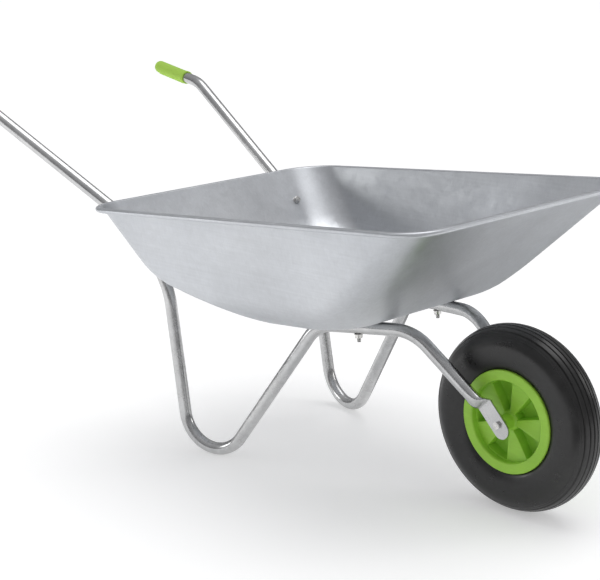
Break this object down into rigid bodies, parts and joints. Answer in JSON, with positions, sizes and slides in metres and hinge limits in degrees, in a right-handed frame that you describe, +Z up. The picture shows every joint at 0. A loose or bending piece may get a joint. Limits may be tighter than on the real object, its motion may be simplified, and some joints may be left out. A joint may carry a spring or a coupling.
{
  "type": "wheelbarrow",
  "caption": "Garden wheelbarrow: deep pressed galvanised tray on two bent tube frames with rubber grips, and a pneumatic tyre on a moulded spoked wheel that spins on a through bolt.",
  "frame": {"origin": "centre of the footprint at ground level", "axes": "+X forward to the wheel, +Y to the left, +Z up"},
  "size_m": [1.5674, 0.7044, 0.6911],
  "materials": {
    "galvanised_sheet": "satin",
    "zinc_tube": "satin",
    "zinc_fastener": "satin",
    "green_grip": "matte",
    "green_plastic": "satin",
    "tyre_rubber": "matte",
    "tube_rubber": "matte",
    "bush_nylon": "matte",
    "valve_brass": "satin",
    "black_plastic": "matte"
  },
  "bodies": {
    "barrow": {"tray": "galvanised_sheet", "frame_tube_left": "zinc_tube", "frame_tube_right": "zinc_tube", "grip_left": "green_grip", "grip_right": "green_grip", "rear_wall_bolts": "zinc_fastener", "rear_wall_washers": "zinc_fastener", "rear_wall_nut_washers": "zinc_fastener", "rear_wall_nuts": "zinc_fastener", "floor_bolts": "zinc_fastener", "floor_washers": "zinc_fastener", "floor_nut_washers": "zinc_fastener", "floor_nuts": "zinc_fastener", "axle_bolt": "zinc_fastener", "axle_nut": "zinc_fastener", "axle_washer": "zinc_fastener", "axle_spacer_left": "zinc_fastener", "axle_spacer_right": "zinc_fastener"},
    "wheel": {"wheel_rim": "green_plastic", "hub_bush_left": "bush_nylon", "hub_bush_right": "bush_nylon", "tyre": "tyre_rubber", "inner_tube": "tube_rubber", "valve_stem": "valve_brass", "valve_cap": "black_plastic"}
  },
  "joints": [
    {"name": "wheel_spin", "type": "hinge", "parent": "barrow", "child": "wheel", "pos_m": [0.6087, 0, 0.175], "axis": [0, 1, 0], "continuous": true}
  ]
}
